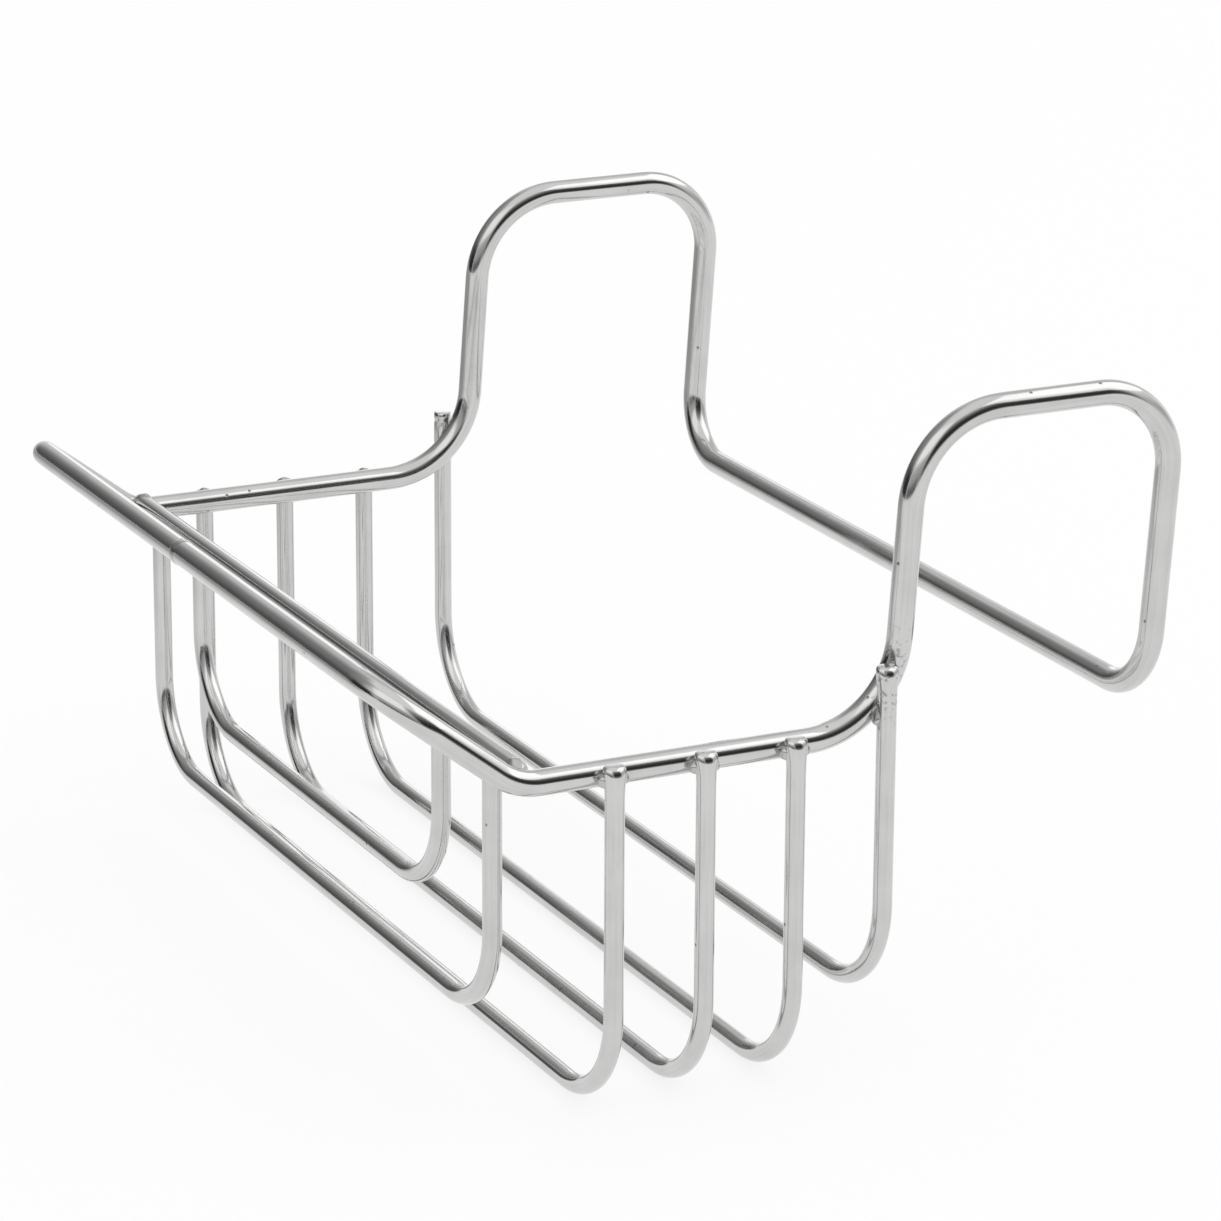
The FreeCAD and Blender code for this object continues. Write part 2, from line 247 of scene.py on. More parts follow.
# Colours: a stain as a share of the steel's own, the dirt in marks and how much of it each has
STAIN = 0.88
GRIME = (0.08, 0.08, 0.08, 1)
PIT_DARK = 0.7
SCUFF_DARK = 0.5
WORN_DARK = 0.45
# Roughness: the first three are shares of the finish's own, the marks add theirs
PLAIN_ROUGH = 0.65
CLOUD_ROUGH = 0.5
LINE_ROUGH = 0.4
PIT_ROUGH = 0.4
SCUFF_ROUGH = 0.15
WORN_ROUGH = 0.2
# Bump: ripples as a multiple of the lines' grain, marks as depths
RIPPLE_HEIGHT = 4
PIT_DEPTH = 0.6
WORN_DEPTH = 0.4
BUMP_STRENGTH = 0.3
BUMP_DISTANCE = 0.0001


def steel_material(name, colour, roughness, grain, pits, worn_at):
    """Bright steel: clouded polish, lines along the wire, pits, scuffs, and specks at one place."""
    graph = Graph(bpy.data.materials.new(name))
    place = graph.node("ShaderNodeTexCoord", output="Object")
    straight = graph.node("ShaderNodeAttribute", {"attribute_name": STRAIGHT}, output="Vector")

    def drawn_out(stretch):
        return graph.node(
            "ShaderNodeVectorMath", {"operation": "MULTIPLY"}, {0: straight, 1: stretch})

    def noise(where, scale, detail):
        return graph.node(
            "ShaderNodeTexNoise", None, {"Vector": where, "Scale": scale, "Detail": detail})

    def spots(where, scale, fade):
        """Marks in the middle of a few cells, as many as the finish has pits."""
        cell = graph.node(
            "ShaderNodeTexVoronoi", None, {"Vector": where, "Scale": scale}, "Distance")
        pick = graph.node("ShaderNodeSeparateColor", None, {0: cell.output("Color")})
        return (1 - graph.step(cell, *fade)) * graph.step(pick, 1 - pits, 1 - pits + CHOICE_RANGE)

    def mix(share, first, second):
        return graph.node(
            "ShaderNodeMix", {"data_type": "RGBA"}, {0: share, 6: first, 7: second}, 2)

    lines = noise(drawn_out(LINE_STRETCH), LINE_SCALE, 3.0)
    cloud = noise(place, CLOUD_SCALE, 3.0)
    ripple = noise(place, RIPPLE_SCALE, 2.0)
    speck = noise(place, SPECK_SCALE, 2.0)
    away = graph.node(
        "ShaderNodeVectorMath", {"operation": "DISTANCE"}, {0: place, 1: worn_at}, "Value")
    worn = (1 - graph.step(away, *WORN_FADE)) * graph.step(speck, *SPECK_RANGE)
    pit = spots(place, PIT_SCALE, PIT_FADE)
    scuff = spots(drawn_out(SCUFF_STRETCH), SCUFF_SCALE, SCUFF_FADE) * ripple

    shade = graph.step(cloud * 0.5 + lines * 0.5, *STAIN_RANGE)
    tint = mix(shade, (*colour, 1), (*(STAIN * part for part in colour), 1))
    dark = mix(pit * PIT_DARK + scuff * SCUFF_DARK + worn * WORN_DARK, tint, GRIME)
    polish = roughness * (PLAIN_ROUGH + cloud * CLOUD_ROUGH + lines * LINE_ROUGH)
    rough = polish + pit * PIT_ROUGH + scuff * SCUFF_ROUGH + worn * WORN_ROUGH
    height = lines * grain + ripple * (grain * RIPPLE_HEIGHT) - pit * PIT_DEPTH - worn * WORN_DEPTH
    bump = graph.node(
        "ShaderNodeBump", None,
        {"Strength": BUMP_STRENGTH, "Distance": BUMP_DISTANCE, "Height": height})
    surface = graph.node(
        "ShaderNodeBsdfPrincipled", None,
        {"Base Color": dark, "Roughness": rough, "Metallic": 1.0, "Normal": bump})
    graph.node("ShaderNodeOutputMaterial", None, {"Surface": surface})


# Bending tools

LEAST_BEND_STEPS = 6
MERGE_DISTANCE = 1e-6
RIM_STEPS = 4
SMOOTH_ANGLE = math.radians(40)


def smooth(share):
    """0 to 1 with soft ends."""
    share = max(0, min(1, share))
    return share * share * (3 - 2 * share)


def between(stops, place):
    """The value at a place on a line of (place, value) stops."""
    for (before, low), (after, high) in zip(stops, stops[1:]):
        if place <= after:
            return low + (high - low) * max(0, place - before) / (after - before)
    return stops[-1][1]


def turned(place, start):
    """The bearing of a place about the upright axis, in degrees after the start."""
    return (math.degrees(math.atan2(place.y, place.x)) - start) % 360


def sideways(place, start, stop, edge):
    """1 between two bearings, fading to 0 at both over the soft edge."""
    past = turned(place, start)
    return smooth(past / edge) * smooth((stop - start - past) / edge)


def deselect():
    if bpy.context.object and bpy.context.object.mode != "OBJECT":
        bpy.ops.object.mode_set(mode="OBJECT")
    bpy.ops.object.select_all(action="DESELECT")


def apply_place():
    bpy.ops.object.transform_apply(location=True, rotation=True, scale=True)


class Wire:
    """A wire in the making: one ring of its section, drawn out and bent in edit mode."""

    def __init__(self, name, place, along, radius, sides):
        deselect()
        turn = along.to_track_quat("Z", "Y")
        bpy.ops.mesh.primitive_circle_add(
            vertices=sides, radius=radius, location=place, rotation=turn.to_euler())
        self.piece = bpy.context.active_object
        self.piece.name = name
        apply_place()
        bpy.ops.object.mode_set(mode="EDIT")
        bpy.ops.mesh.select_all(action="SELECT")
        self.here = place.copy()
        self.along = along.normalized()
        self.up = turn @ Vector((1, 0, 0))
        self.drawn = 0.0
        self.outward = self.across = 1.0
        self.lean = Vector()
        self.stations = []
        self.mark()

    def mark(self):
        """Notes where on the straight wire the last ring was."""
        self.stations.append((self.here.copy(), self.along.copy(), self.up.copy(), self.drawn))

    def draw_out(self, distance):
        bpy.ops.mesh.extrude_region_move(TRANSFORM_OT_translate={"value": self.along * distance})
        self.here = self.here + self.along * distance
        self.drawn += distance
        self.mark()

    def bend(self, middle, axis, turn, steps):
        bpy.ops.mesh.spin(steps=steps, angle=-turn, center=middle, axis=axis)
        step = Quaternion(axis, turn / steps)
        arm = self.here - middle
        for _ in range(steps):
            arm = step @ arm
            self.along = step @ self.along
            self.up = step @ self.up
            self.here = middle + arm
            self.drawn += arm.length * turn / steps
            self.mark()

    def follow(self, points, bends, quarter_steps):
        """Straight runs joined by tangent bends, one bend for each inner point."""
        for before, corner, after, bend in zip(points, points[1:], points[2:], bends):
            back = (before - corner).normalized()
            ahead = (after - corner).normalized()
            half = back.angle(ahead) / 2
            middle = corner + (back + ahead).normalized() * (bend / math.sin(half))
            turn = math.pi - 2 * half
            self.draw_out((corner + back * (bend / math.tan(half)) - self.here).length)
            steps = max(LEAST_BEND_STEPS, round(quarter_steps * turn / (math.pi / 2)))
            self.bend(middle, ahead.cross(back).normalized(), turn, steps)
        self.draw_out((points[-1] - self.here).length)

    def shape(self, outward, across, lean):
        """Presses the last ring: sizes along X and Y as shares of a round one, and its shift."""
        centre = self.here + self.lean
        ratio = (outward / self.outward, across / self.across, 1)
        bpy.ops.transform.resize(value=ratio, center_override=centre)
        bpy.ops.transform.translate(value=lean - self.lean)
        self.outward, self.across, self.lean = outward, across, lean

    def close(self, rounding=0.0):
        """Caps the ends, softens their rims and notes every point's place on the straight wire."""
        close_ends(self.piece, rounding)
        tree = KDTree(len(self.stations))
        for number, station in enumerate(self.stations):
            tree.insert(station[0], number)
        tree.balance()
        places = self.piece.data.attributes.new(STRAIGHT, "FLOAT_VECTOR", "POINT")
        for vertex, place in zip(self.piece.data.vertices, places.data):
            here, along, up, drawn = self.stations[tree.find(vertex.co)[1]]
            arm = vertex.co - here
            place.vector = (arm.dot(up), arm.dot(along.cross(up)), drawn + arm.dot(along))
        return self.piece


def select_edges(piece, test):
    """Selects, in edit mode, the edges that pass the test."""
    bpy.ops.mesh.select_all(action="DESELECT")
    bpy.ops.mesh.select_mode(type="EDGE")
    mesh = bmesh.from_edit_mesh(piece.data)
    for edge in mesh.edges:
        edge.select_set(test(edge))
    mesh.select_flush_mode()
    bmesh.update_edit_mesh(piece.data)


def close_ends(piece, rounding):
    """Caps the cut ends and softens their rims."""
    bpy.ops.mesh.select_all(action="SELECT")
    bpy.ops.mesh.remove_doubles(threshold=MERGE_DISTANCE)
    bpy.ops.mesh.fill_holes(sides=0)
    select_edges(piece, lambda edge: any(len(face.verts) > 4 for face in edge.link_faces))
    if rounding:
        bpy.ops.mesh.bevel(offset=rounding, segments=RIM_STEPS, affect="EDGES")
    bpy.ops.mesh.select_all(action="SELECT")
    bpy.ops.mesh.normals_make_consistent(inside=False)
    bpy.ops.object.mode_set(mode="OBJECT")
    bpy.ops.object.shade_smooth_by_angle(angle=SMOOTH_ANGLE)


def finish_piece(piece, node, material):
    """Gives the piece its steel and puts it in the place of its solid."""
    if not len(piece.data.polygons):
        raise RuntimeError(f"{piece.name} has no faces")
    piece.data.materials.clear()
    piece.data.materials.append(material)
    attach(piece, BODY)
    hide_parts(node)


def copy_piece(piece, name, move):
    """A copy with its own mesh, moved by the given matrix."""
    copy = piece.copy()
    copy.data = piece.data.copy()
    copy.name = name
    copy.data.transform(move)
    bpy.context.scene.collection.objects.link(copy)
    return copy


class Layout:
    """Places that several pieces share, from the solids' boxes and the sizes."""

    def __init__(self, sizes):
        low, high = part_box(RAIL_RIBS[0])
        self.first_rib_y = (low.y + high.y) / 2
        self.rail_z = high.z - sizes.rib_end_rise
        self.rail_x = sizes.rail_spacing / 2
        self.rib_y = {}
        for rib in RAIL_RIBS + (REAR_RIB,):
            low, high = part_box(rib)
            self.rib_y[rib] = (low.y + high.y) / 2
        self.front_bar_y = self.first_rib_y - sizes.front_bar_reach
        self.front_bar_z = self.rail_z + sizes.front_bar_rise
        self.corner_y = self.first_rib_y - sizes.corner_reach
        self.lip_y = self.corner_y - sizes.lip_reach
        self.lip_z = self.rail_z + sizes.lip_rise
        self.hoop_y = self.rib_y[REAR_RIB] + sizes.hoop_behind_rib


def steel():
    return bpy.data.materials["drawn_steel"]


def weld_steel():
    return bpy.data.materials["bead_steel"]


class HolderOperator:
    """What the operators below share."""

    bl_options = {"REGISTER", "UNDO"}

    def sizes(self, context):
        return context.scene.holder_sizes, Layout(context.scene.holder_sizes)


class HOLDER_OT_steel(HolderOperator, bpy.types.Operator):
    """Mixes the two finishes of the steel"""

    bl_idname = "holder.steel"
    bl_label = "Steel"

    def execute(self, context):
        finish = context.scene.holder_finish
        s, at = self.sizes(context)
        beside_rail = at.rail_x + 1.5 * s.frame_wire
        worn_at = (beside_rail, at.rib_y[REAR_RIB], at.rail_z + s.rear_rib_lift)
        steel_material(
            "drawn_steel", finish.steel, finish.polish, grain=0.05, pits=0.10, worn_at=worn_at)
        steel_material(
            "bead_steel", finish.weld, finish.weld_polish, grain=0.5, pits=0.35, worn_at=worn_at)
        return {"FINISHED"}


class HOLDER_OT_frame(HolderOperator, bpy.types.Operator):
    """Bends the frame's wire round the lip, the rails, both hoops and the rear crossbar"""

    bl_idname = "holder.frame"
    bl_label = "Frame"

    def execute(self, context):
        s, at = self.sizes(context)
        back = at.hoop_y + s.hoop_spacing
        top = at.rail_z + s.hoop_height
        left = [
            Vector((-at.rail_x + s.lip_inset, at.lip_y, at.lip_z)),
            Vector((-at.rail_x, at.corner_y, at.rail_z)),
            Vector((-at.rail_x, at.hoop_y, at.rail_z)),
            Vector((-at.rail_x, at.hoop_y + s.hoop_setback, top)),
            Vector((-at.rail_x, back + s.hoop_setback, top)),
            Vector((-at.rail_x, back, at.rail_z - s.rear_bar_drop)),
        ]
        bends = [
            s.lip_bend, s.corner_bend, s.hoop_foot_bend,
            s.hoop_front_bend, s.hoop_rear_bend, s.rear_bar_bend,
        ]
        right = [Vector((-p.x, p.y, p.z)) for p in reversed(left)]
        start = Vector((-s.seam_offset - s.seam_gap / 2, at.lip_y, at.lip_z))
        end = Vector((-s.seam_offset + s.seam_gap / 2, at.lip_y, at.lip_z))
        wire = Wire("bent_frame", start, Vector((-1, 0, 0)), s.frame_wire / 2, s.wire_sides)
        wire.follow([start] + left + right + [end], bends + bends[::-1], s.bend_steps)
        finish_piece(wire.close(), "frame_wire", steel())
        return {"FINISHED"}


def bend_loop(name, s, at_y, side, tops, floor, bend, ends, rounding):
    """A U of wire, drawn down the left leg, across and up the right one, its ends as listed."""
    (left_top, right_top), (left, right) = tops, ends
    start = Vector((-side, at_y, left_top))
    wire = Wire(name, start, Vector((0, 0, -1)), s.rib_wire / 2, s.wire_sides)
    for (drop, outward, across, lean), before in zip(left, left[:1] + left):
        if drop:
            wire.draw_out(drop - before[0])
        wire.shape(outward, across, Vector((lean, 0, 0)))
    points = [
        wire.here.copy(), Vector((-side, at_y, floor)), Vector((side, at_y, floor)),
        Vector((side, at_y, right_top - right[-1][0])),
    ]
    wire.follow(points, [bend, bend], s.bend_steps)
    for (drop, outward, across, lean), before in zip(right[-2::-1], right[::-1]):
        wire.draw_out(before[0] - drop)
        wire.shape(outward, across, Vector((-lean, 0, 0)))
    return wire.close(rounding)


# Wire ends, ring by ring: drop from the end, sizes along X and Y as shares, lean towards the middle
PRESSED_END = (
    (0.0, 0.60, 0.92, 0.00042), (0.00015, 0.78, 1.10, 0.00030), (0.0005, 0.90, 1.20, 0.00016),
    (0.0010, 0.96, 1.23, 0.00006), (0.0016, 1.0, 1.20, 0.0), (0.0024, 1.0, 1.12, 0.0),
    (0.0034, 1.0, 1.04, 0.0), (0.005, 1.0, 1.0, 0.0),
)
NOTCHED_END = (
    (0.0, 0.86, 0.86, 0.0), (0.0002, 0.98, 0.98, 0.0), (0.0010, 1.0, 1.0, 0.0),
    (0.0013, 0.94, 0.94, 0.0), (0.0017, 0.94, 0.94, 0.0), (0.0021, 1.0, 1.0, 0.0),
    (0.004, 1.0, 1.0, 0.0),
)
PLAIN_END = ((0.0, 1.0, 1.0, 0.0), (0.002, 1.0, 1.0, 0.0))


class HOLDER_OT_ribs(HolderOperator, bpy.types.Operator):
    """Bends the basket's ribs: three alike on the rails and one set higher at the rear"""

    bl_idname = "holder.ribs"
    bl_label = "Ribs"

    def execute(self, context):
        s, at = self.sizes(context)
        side = at.rail_x + s.frame_wire / 2 + s.rib_wire / 2 - s.weld_sink
        top = at.rail_z + s.rib_end_rise
        floor = at.rail_z - s.rib_depth
        rim = s.end_round / 4
        first = bend_loop(
            "bent_" + RAIL_RIBS[0], s, at.first_rib_y, side, (top - s.rib_left_cut, top),
            floor, s.rib_bend, (PLAIN_END, PRESSED_END), rim)
        ribs = {RAIL_RIBS[0]: first}
        for rib in RAIL_RIBS[1:]:
            move = Matrix.Translation((0, at.rib_y[rib] - at.first_rib_y, 0))
            ribs[rib] = copy_piece(first, "bent_" + rib, move)
        rear_top = top + s.rear_rib_lift
        ribs[REAR_RIB] = bend_loop(
            "bent_" + REAR_RIB, s, at.rib_y[REAR_RIB], side,
            (rear_top - s.rear_left_cut, rear_top - s.rear_right_cut),
            floor + s.rear_rib_lift, s.rib_bend, (NOTCHED_END, PRESSED_END), rim)
        for rib, piece in ribs.items():
            finish_piece(piece, rib, steel())
        return {"FINISHED"}


class HOLDER_OT_front_bar(HolderOperator, bpy.types.Operator):
    """Cuts the straight bar across the front"""

    bl_idname = "holder.front_bar"
    bl_label = "Front bar"

    def execute(self, context):
        s, at = self.sizes(context)
        reach = at.rail_x - s.frame_wire / 2 + s.front_bar_tuck
        start = Vector((-reach, at.front_bar_y, at.front_bar_z))
        wire = Wire("straight_front_bar", start, Vector((1, 0, 0)), s.rib_wire / 2, s.wire_sides)
        wire.draw_out(2 * reach)
        finish_piece(wire.close(s.end_round), "front_bar", steel())
        return {"FINISHED"}


class HOLDER_OT_loops(HolderOperator, bpy.types.Operator):
    """Bends the two loops that hang from the front bar"""

    bl_idname = "holder.loops"
    bl_label = "Front loops"

    def execute(self, context):
        s, at = self.sizes(context)
        top = at.front_bar_z - s.rib_wire / 2 + s.weld_sink
        outer = at.rail_x - s.outer_loop_inset
        inner = outer - s.inner_loop_inset
        for node, side, depth, bend in (
            ("outer_loop", outer, s.outer_loop_depth, s.outer_loop_bend),
            ("inner_loop", inner, s.inner_loop_depth, s.inner_loop_bend),
        ):
            piece = bend_loop(
                "bent_" + node, s, at.front_bar_y, side, (top, top), at.rail_z - depth, bend,
                (PLAIN_END, PLAIN_END), s.end_round)
            finish_piece(piece, node, steel())
        return {"FINISHED"}


class HOLDER_OT_welds(HolderOperator, bpy.types.Operator):
    """Lays a bead where two wires touch, and the collar that closes the frame"""

    bl_idname = "holder.welds"
    bl_label = "Welds"

    # Beads: sizes along X, Y and Z as shares of a round one, and the seed of their unevenness
    RIB_BEAD = ((0.84, 1.54, 0.84), 7)
    LEFT_BEAD = ((0.84, 1.05, 0.84), 5)
    END_BEAD = ((1.35, 0.98, 0.97), 11)
    SMALL_BEAD = ((0.5, 1.0, 0.85), 3)
    UNEVEN = 0.07
    SOFT_LEVELS = 2
    REAR_TILT = math.radians(48)
    END_TILT = math.radians(24)
    END_SHIFT = (0.0003, 0, 0.00085)
    # Rings of the collar: place along it and height, as shares
    COLLAR = ((-1.0, 0.0), (-0.65, 0.6), (-0.2, 1.0), (0.25, 0.9), (0.7, 0.5), (1.0, 0.0))

    def bead(self, name, s, shares, seed):
        """One uneven bead about the origin."""
        deselect()
        bpy.ops.mesh.primitive_ico_sphere_add(subdivisions=3, radius=s.weld_bead / 2)
        piece = bpy.context.active_object
        piece.name = name
        bpy.ops.object.mode_set(mode="EDIT")
        bpy.ops.mesh.select_all(action="SELECT")
        bpy.ops.transform.vertex_random(
            offset=s.weld_bead * self.UNEVEN, uniform=0.2, normal=0.8, seed=seed)
        bpy.ops.mesh.vertices_smooth(factor=0.5, repeat=1)
        bpy.ops.transform.resize(value=shares)
        bpy.ops.mesh.normals_make_consistent(inside=False)
        bpy.ops.object.mode_set(mode="OBJECT")
        modifier = piece.modifiers.new("Soft", "SUBSURF")
        modifier.levels = self.SOFT_LEVELS
        modifier.render_levels = self.SOFT_LEVELS
        bpy.ops.object.modifier_apply(modifier=modifier.name)
        bpy.ops.object.shade_smooth()
        return piece

    def collar(self, s, at):
        """The low collar round the frame's closing weld."""
        half = s.seam_width / 2
        radius = s.frame_wire / 2
        start = Vector((-s.seam_offset - half, at.lip_y, at.lip_z))
        wire = Wire("seam_collar", start, Vector((1, 0, 0)), radius, s.wire_sides)
        wide = radius
        for (before, _), (share, crown) in zip(self.COLLAR, self.COLLAR[1:]):
            wire.draw_out((share - before) * half)
            now = radius + crown * s.seam_crown
            bpy.ops.transform.resize(value=(1, now / wide, now / wide), center_override=wire.here)
            wide = now
        finish_piece(wire.close(), "frame_seam_weld", weld_steel())

    def execute(self, context):
        s, at = self.sizes(context)
        rib_bead = self.bead("rib_bead", s, *self.RIB_BEAD)
        left_bead = self.bead("left_bead", s, *self.LEFT_BEAD)
        end_bead = self.bead("end_bead", s, *self.END_BEAD)
        small_bead = self.bead("small_bead", s, *self.SMALL_BEAD)
        turn_down = Matrix.Rotation(math.radians(90), 4, "Y")
        turn_back = Matrix.Rotation(math.pi, 4, "Z")
        lower = Matrix.Translation((0, 0, -s.rear_right_cut))
        steep = lower @ Matrix.Rotation(self.REAR_TILT, 4, "X")
        # Rib beads stand further out than their solids, lower at the right, higher at the left
        outward = Matrix.Translation((s.weld_bead / 6, 0, -s.weld_bead / 10))
        left_outward = Matrix.Translation((-s.weld_bead / 6, 0, s.weld_bead / 30))
        over_end = Matrix.Translation(self.END_SHIFT) @ Matrix.Rotation(self.END_TILT, 4, "Y")
        places = []
        for order, rib in enumerate(RAIL_RIBS + (REAR_RIB,)):
            turn = steep if rib == REAR_RIB else Matrix.Rotation(math.pi * order, 4, "X")
            places.append((f"{rib}_weld_left", left_bead, left_outward @ turn @ turn_back))
            places.append((f"{rib}_weld_right", rib_bead, outward @ turn))
        places.append(("front_bar_weld_left", end_bead, turn_back @ over_end))
        places.append(("front_bar_weld_right", end_bead, over_end))
        for side in ("left", "right"):
            places.append((f"outer_loop_weld_{side}", small_bead, turn_down))
            places.append((f"inner_loop_weld_{side}", small_bead, turn_down))
        for node, pattern, turn in places:
            lowest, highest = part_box(node)
            move = Matrix.Translation((lowest + highest) / 2) @ turn
            bead = copy_piece(pattern, "bead_" + node, move)
            finish_piece(bead, node, weld_steel())
        for pattern in (rib_bead, left_bead, end_bead, small_bead):
            bpy.data.objects.remove(pattern)
        self.collar(s, at)
        return {"FINISHED"}


class HOLDER_OT_stage(HolderOperator, bpy.types.Operator):
    """Sets up the floor, the cards, the light and the camera"""

    bl_idname = "holder.stage"
    bl_label = "Stage"

    FLOOR_RADIUS = 6.0
    FLOOR_SIDES = 96
    FLOOR_WHITE = 0.8
    PANEL_DISTANCE = 2.2
    PANEL_GAP = 0.03
    PANEL_RIM = 14.0
    PANEL_SEGMENTS = 90
    PANEL_RINGS = 46
    LAMP_DISTANCE = 1.7
    ROOM_LIGHT = 0.95
    SENSOR_WIDTH = 36
    VIEW_DEPTH = 50
    # Name, bearings from and to, soft edge, top, and greys by height, the angles in degrees
    PANELS = (
        ("panel_corner", 220.0, 274.0, 12.0, 32.0,
            ((0, 0.03), (14, 0.03), (24, 0.12), (32, 0.30))),
        ("panel_left", 152.0, 282.0, 45.0, 74.0,
            ((0, 0.11), (12, 0.12), (24, 0.24), (40, 0.32), (60, 0.45))),
        ("panel_right", 332.0, 414.0, 18.0, 60.0,
            ((0, 0.38), (8, 0.04), (20, 0.03), (32, 0.12), (44, 0.40), (60, 0.8))),
        ("panel_front", 262.0, 350.0, 20.0, 33.0,
            ((0, 0.14), (6, 0.14), (13, 0.48), (30, 0.52))),
        ("panel_back", 104.0, 172.0, 14.0, 62.0,
            ((0, 0.95), (14, 0.90), (28, 0.74), (60, 0.72))),
        ("panel_low", 40.0, 100.0, 16.0, 30.0,
            ((0, 0.80), (10, 0.50), (20, 0.75))),
    )
    # Painted floor shade, a dark sheet that only the steel mirrors: bearings from and to, soft
    # edge, reach from and to, grey
    SHADE_SHEET = (160.0, 268.0, 30.0, 0.08, 0.45, 0.42)
    SHADE_SHEET_LIFT = 0.0005
    SHADE_SHEET_SIZE = 3
    SHADE_SHEET_STEPS = 80
    # Name, bearing, height, width, depth, brightness
    SOFTBOXES = (
        ("softbox_back", 73.0, 48.0, 2.0, 1.05, 0.75),
        ("softbox_front", 302.0, 47.0, 1.5, 1.0, 0.25),
        ("softbox_strip", 155.0, 12.0, 0.38, 0.5, 0.5),
    )

    def floor(self, studio):
        """A pale floor that keeps the object's shadow."""
        deselect()
        bpy.ops.mesh.primitive_circle_add(
            vertices=self.FLOOR_SIDES, radius=self.FLOOR_RADIUS, fill_type="NGON")
        floor = bpy.context.active_object
        floor.name = "pale_floor"
        material = bpy.data.materials.new("pale_floor")
        graph = Graph(material)
        share = seen_rays(graph) * self.FLOOR_WHITE
        matt = graph.node("ShaderNodeBsdfDiffuse", None, {"Color": (*studio.floor, 1)})
        white = graph.node("ShaderNodeEmission", None, {"Color": WHITE, "Strength": 1.0})
        mixed = graph.node("ShaderNodeMixShader", None, {0: share, 1: matt, 2: white})
        graph.node("ShaderNodeOutputMaterial", None, {"Surface": mixed})
        floor.data.materials.append(material)

    def keep_part(self, card, test):
        """Cuts away the faces of a card whose middles fail the test."""
        bpy.ops.object.mode_set(mode="EDIT")
        bpy.ops.mesh.select_all(action="DESELECT")
        bpy.ops.mesh.select_mode(type="FACE")
        mesh = bmesh.from_edit_mesh(card.data)
        for face in mesh.faces:
            face.select_set(not test(face.calc_center_median()))
        bmesh.update_edit_mesh(card.data)
        bpy.ops.mesh.delete(type="FACE")
        bpy.ops.object.mode_set(mode="OBJECT")

    def paint(self, card, cover_at, grey_at):
        """A matt card that only the steel mirrors, see-through where it isn't covered."""
        cover = card.data.attributes.new("cover", "FLOAT", "POINT")
        grey = card.data.attributes.new("grey", "FLOAT", "POINT")
        for vertex in card.data.vertices:
            cover.data[vertex.index].value = cover_at(vertex.co)
            grey.data[vertex.index].value = grey_at(vertex.co)
        material = bpy.data.materials.new(card.name)
        graph = Graph(material)
        share = graph.node("ShaderNodeAttribute", {"attribute_name": "cover"}, output="Fac")
        tone = graph.node("ShaderNodeAttribute", {"attribute_name": "grey"}, output="Fac")
        clear = graph.node("ShaderNodeBsdfTransparent")
        matt = graph.node("ShaderNodeEmission", None, {"Color": tone})
        surface = graph.node("ShaderNodeMixShader", None, {0: share, 1: clear, 2: matt})
        graph.node("ShaderNodeOutputMaterial", None, {"Surface": surface})
        card.data.materials.append(material)
        card.visible_camera = False
        card.visible_diffuse = False
        card.visible_shadow = False

    def panel(self, order, name, start, stop, edge, top, greys):
        """A part of a dome round the object, with soft edges."""
        deselect()
        distance = self.PANEL_DISTANCE + order * self.PANEL_GAP
        bpy.ops.mesh.primitive_uv_sphere_add(
            segments=self.PANEL_SEGMENTS, ring_count=self.PANEL_RINGS, radius=distance)
        panel = bpy.context.active_object
        panel.name = name

        def height(place):
            return math.degrees(math.asin(max(-1, min(1, place.z / place.length))))

        def cover(place):
            under_top = smooth((top - height(place)) / self.PANEL_RIM)
            return sideways(place, start, stop, edge) * under_top

        self.keep_part(panel, lambda place: place.z > 0 and cover(place) > 0)
        self.paint(panel, cover, lambda place: between(greys, height(place)))

    def cloth(self, start, stop, edge, near, far, grey):
        """Painted shade: a dark sheet on the floor, beside the object and out of the picture, that
        only the steel mirrors, so the mirrored floor on that side is darker away from the object.
        """
        deselect()
        bpy.ops.mesh.primitive_grid_add(
            x_subdivisions=self.SHADE_SHEET_STEPS, y_subdivisions=self.SHADE_SHEET_STEPS, size=self.SHADE_SHEET_SIZE,
            location=(0, 0, self.SHADE_SHEET_LIFT))
        cloth = bpy.context.active_object
        cloth.name = "painted_floor_shade"
        apply_place()

        # Where the painted shade lies: none near the object, full farther out
        def cover(place):
            outward = smooth((place.xy.length - near) / (far - near))
            return sideways(place, start, stop, edge) * outward

        self.keep_part(cloth, lambda place: cover(place) > 0)
        self.paint(cloth, cover, lambda place: grey)

    def softbox(self, name, bearing, height, width, depth, brightness):
        """A soft lamp that faces the object, as bright per area as given."""
        turn, lift = math.radians(bearing), math.radians(height)
        flat = math.cos(lift)
        away = Vector((math.cos(turn) * flat, math.sin(turn) * flat, math.sin(lift)))
        facing = away.to_track_quat("Z", "Y").to_euler()
        deselect()
        bpy.ops.object.light_add(
            type="AREA", location=away * self.LAMP_DISTANCE, rotation=facing)
        lamp = bpy.context.active_object
        lamp.name = name
        lamp.data.shape = "RECTANGLE"
        lamp.data.size = width
        lamp.data.size_y = depth
        lamp.data.energy = brightness * math.pi * width * depth

    def light(self):
        """A white room, a little dimmer as light than as background."""
        world = bpy.data.worlds.new("white_studio")
        bpy.context.scene.world = world
        graph = Graph(world)
        seen = seen_rays(graph)
        strength = seen + (1 - seen) * self.ROOM_LIGHT
        sky = graph.node("ShaderNodeBackground", None, {"Color": WHITE, "Strength": strength})
        graph.node("ShaderNodeOutputWorld", None, {"Surface": sky})

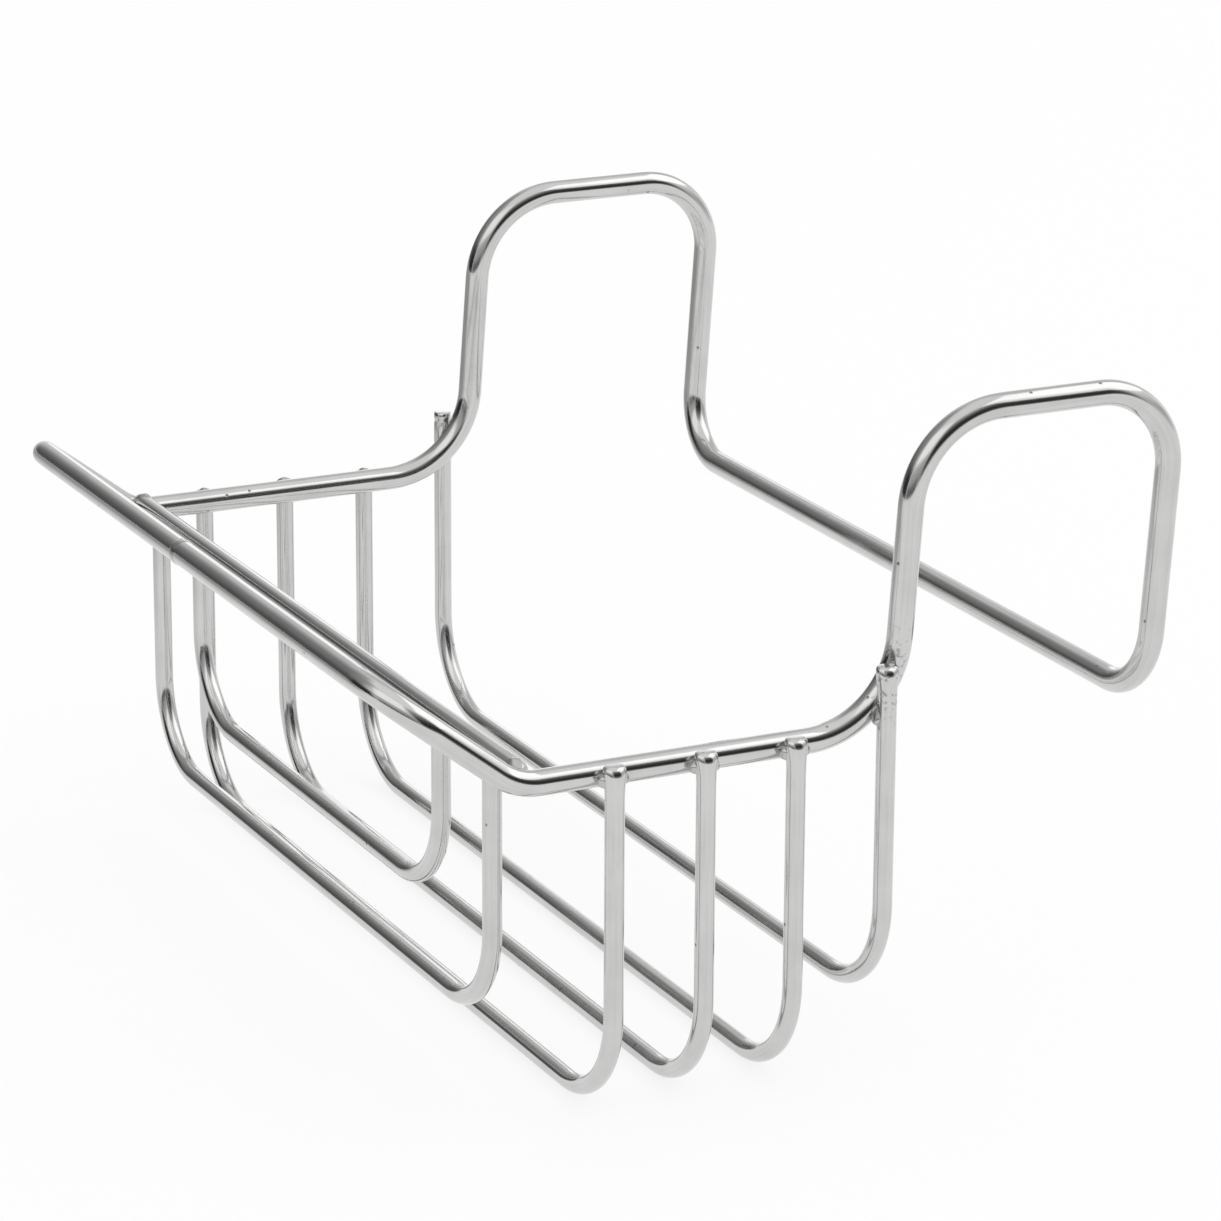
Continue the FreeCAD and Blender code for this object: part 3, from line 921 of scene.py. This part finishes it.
    def camera(self, studio):
        """A camera where the photograph was taken from."""
        deselect()
        bpy.ops.object.camera_add(location=studio.camera_place, rotation=studio.camera_turn)
        camera = bpy.context.active_object
        camera.name = "photo_camera"
        camera.data.sensor_fit = "HORIZONTAL"
        camera.data.sensor_width = self.SENSOR_WIDTH
        camera.data.lens = studio.lens
        camera.data.clip_end = self.VIEW_DEPTH
        bpy.context.scene.camera = camera

    def execute(self, context):
        studio = context.scene.holder_studio
        self.floor(studio)
        for order, panel in enumerate(self.PANELS):
            self.panel(order, *panel)
        # The floor's painted shade, seen by mirrored rays only
        self.cloth(*self.SHADE_SHEET)
        for softbox in self.SOFTBOXES:
            self.softbox(*softbox)
        self.light()
        self.camera(studio)
        context.scene.view_settings.view_transform = "Standard"
        return {"FINISHED"}


STEPS = (
    HOLDER_OT_steel,
    HOLDER_OT_frame,
    HOLDER_OT_ribs,
    HOLDER_OT_front_bar,
    HOLDER_OT_loops,
    HOLDER_OT_welds,
    HOLDER_OT_stage,
)


class HOLDER_PT_panel(bpy.types.Panel):
    """Lists the steps and the sizes"""

    bl_idname = "HOLDER_PT_panel"
    bl_label = "Wire sponge holder"
    bl_space_type = "VIEW_3D"
    bl_region_type = "UI"
    bl_category = "Holder"

    def draw(self, context):
        for step in STEPS:
            self.layout.operator(step.bl_idname)
        scene = context.scene
        for group in (scene.holder_sizes, scene.holder_finish, scene.holder_studio):
            box = self.layout.box()
            for name in group.__annotations__:
                box.prop(group, name)


CLASSES = (HolderSizes, HolderFinish, HolderStudio) + STEPS + (HOLDER_PT_panel,)


def register():
    for cls in CLASSES:
        bpy.utils.register_class(cls)
    bpy.types.Scene.holder_sizes = PointerProperty(type=HolderSizes)
    bpy.types.Scene.holder_finish = PointerProperty(type=HolderFinish)
    bpy.types.Scene.holder_studio = PointerProperty(type=HolderStudio)


def unregister():
    del bpy.types.Scene.holder_studio
    del bpy.types.Scene.holder_finish
    del bpy.types.Scene.holder_sizes
    for cls in reversed(CLASSES):
        bpy.utils.unregister_class(cls)


def main():
    register()
    bpy.ops.holder.steel()
    bpy.ops.holder.frame()
    bpy.ops.holder.ribs()
    bpy.ops.holder.front_bar()
    bpy.ops.holder.loops()
    bpy.ops.holder.welds()
    bpy.ops.holder.stage()
    deselect()


if __name__ == "__main__":
    main()
